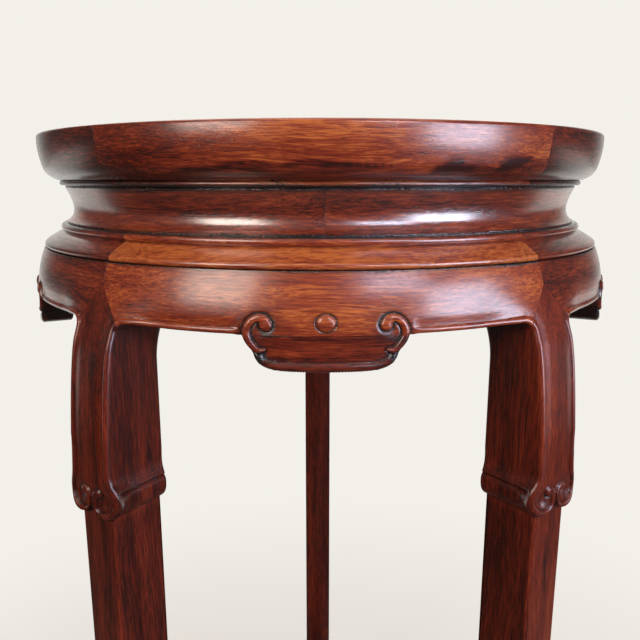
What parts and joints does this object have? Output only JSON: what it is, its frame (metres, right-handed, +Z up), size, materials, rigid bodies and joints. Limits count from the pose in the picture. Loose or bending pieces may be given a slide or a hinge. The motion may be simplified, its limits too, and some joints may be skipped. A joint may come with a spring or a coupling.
{
  "type": "round display stand",
  "caption": "Tall round hardwood display stand: framed top on a recessed waist, curved aprons with scrolled pendants, square legs with scrolled knees, and a low round shelf.",
  "frame": {"origin": "on the floor, under the axis of the round top", "axes": "+Z up along the axis of the round top, -Y out of the front apron, +X to the right seen from the front"},
  "size_m": [0.457, 0.4529, 0.9],
  "materials": {
    "frame_wood": "waxed satin",
    "panel_wood": "waxed satin",
    "waist_wood": "waxed satin",
    "moulding_wood": "waxed satin",
    "apron_wood": "waxed satin",
    "leg_wood": "waxed satin",
    "shelf_wood": "waxed satin",
    "hidden_wood": "planed, unwaxed",
    "bamboo": "split, unwaxed"
  },
  "bodies": {
    "root": {"top_frame_1": "frame_wood", "top_frame_2": "frame_wood", "top_frame_3": "frame_wood", "top_frame_4": "frame_wood", "top_frame_5": "frame_wood", "top_frame_splines": "hidden_wood", "top_panel": "panel_wood", "top_batten_left": "hidden_wood", "top_batten_right": "hidden_wood", "waist_1": "waist_wood", "waist_2": "waist_wood", "waist_3": "waist_wood", "waist_4": "waist_wood", "waist_5": "waist_wood", "shoulder_moulding_1": "moulding_wood", "shoulder_moulding_2": "moulding_wood", "shoulder_moulding_3": "moulding_wood", "shoulder_moulding_4": "moulding_wood", "shoulder_moulding_5": "moulding_wood", "moulding_pins": "bamboo", "apron_1": "apron_wood", "apron_2": "apron_wood", "apron_3": "apron_wood", "apron_4": "apron_wood", "apron_5": "apron_wood", "pendant_1": "apron_wood", "pendant_2": "apron_wood", "pendant_3": "apron_wood", "pendant_4": "apron_wood", "pendant_5": "apron_wood", "leg_1": "leg_wood", "leg_2": "leg_wood", "leg_3": "leg_wood", "leg_4": "leg_wood", "leg_5": "leg_wood", "shelf_rail_1": "shelf_wood", "shelf_rail_2": "shelf_wood", "shelf_rail_3": "shelf_wood", "shelf_rail_4": "shelf_wood", "shelf_rail_5": "shelf_wood", "shelf_splines": "hidden_wood", "shelf_panel": "panel_wood", "shelf_batten_left": "hidden_wood", "shelf_batten_right": "hidden_wood"}
  },
  "joints": []
}
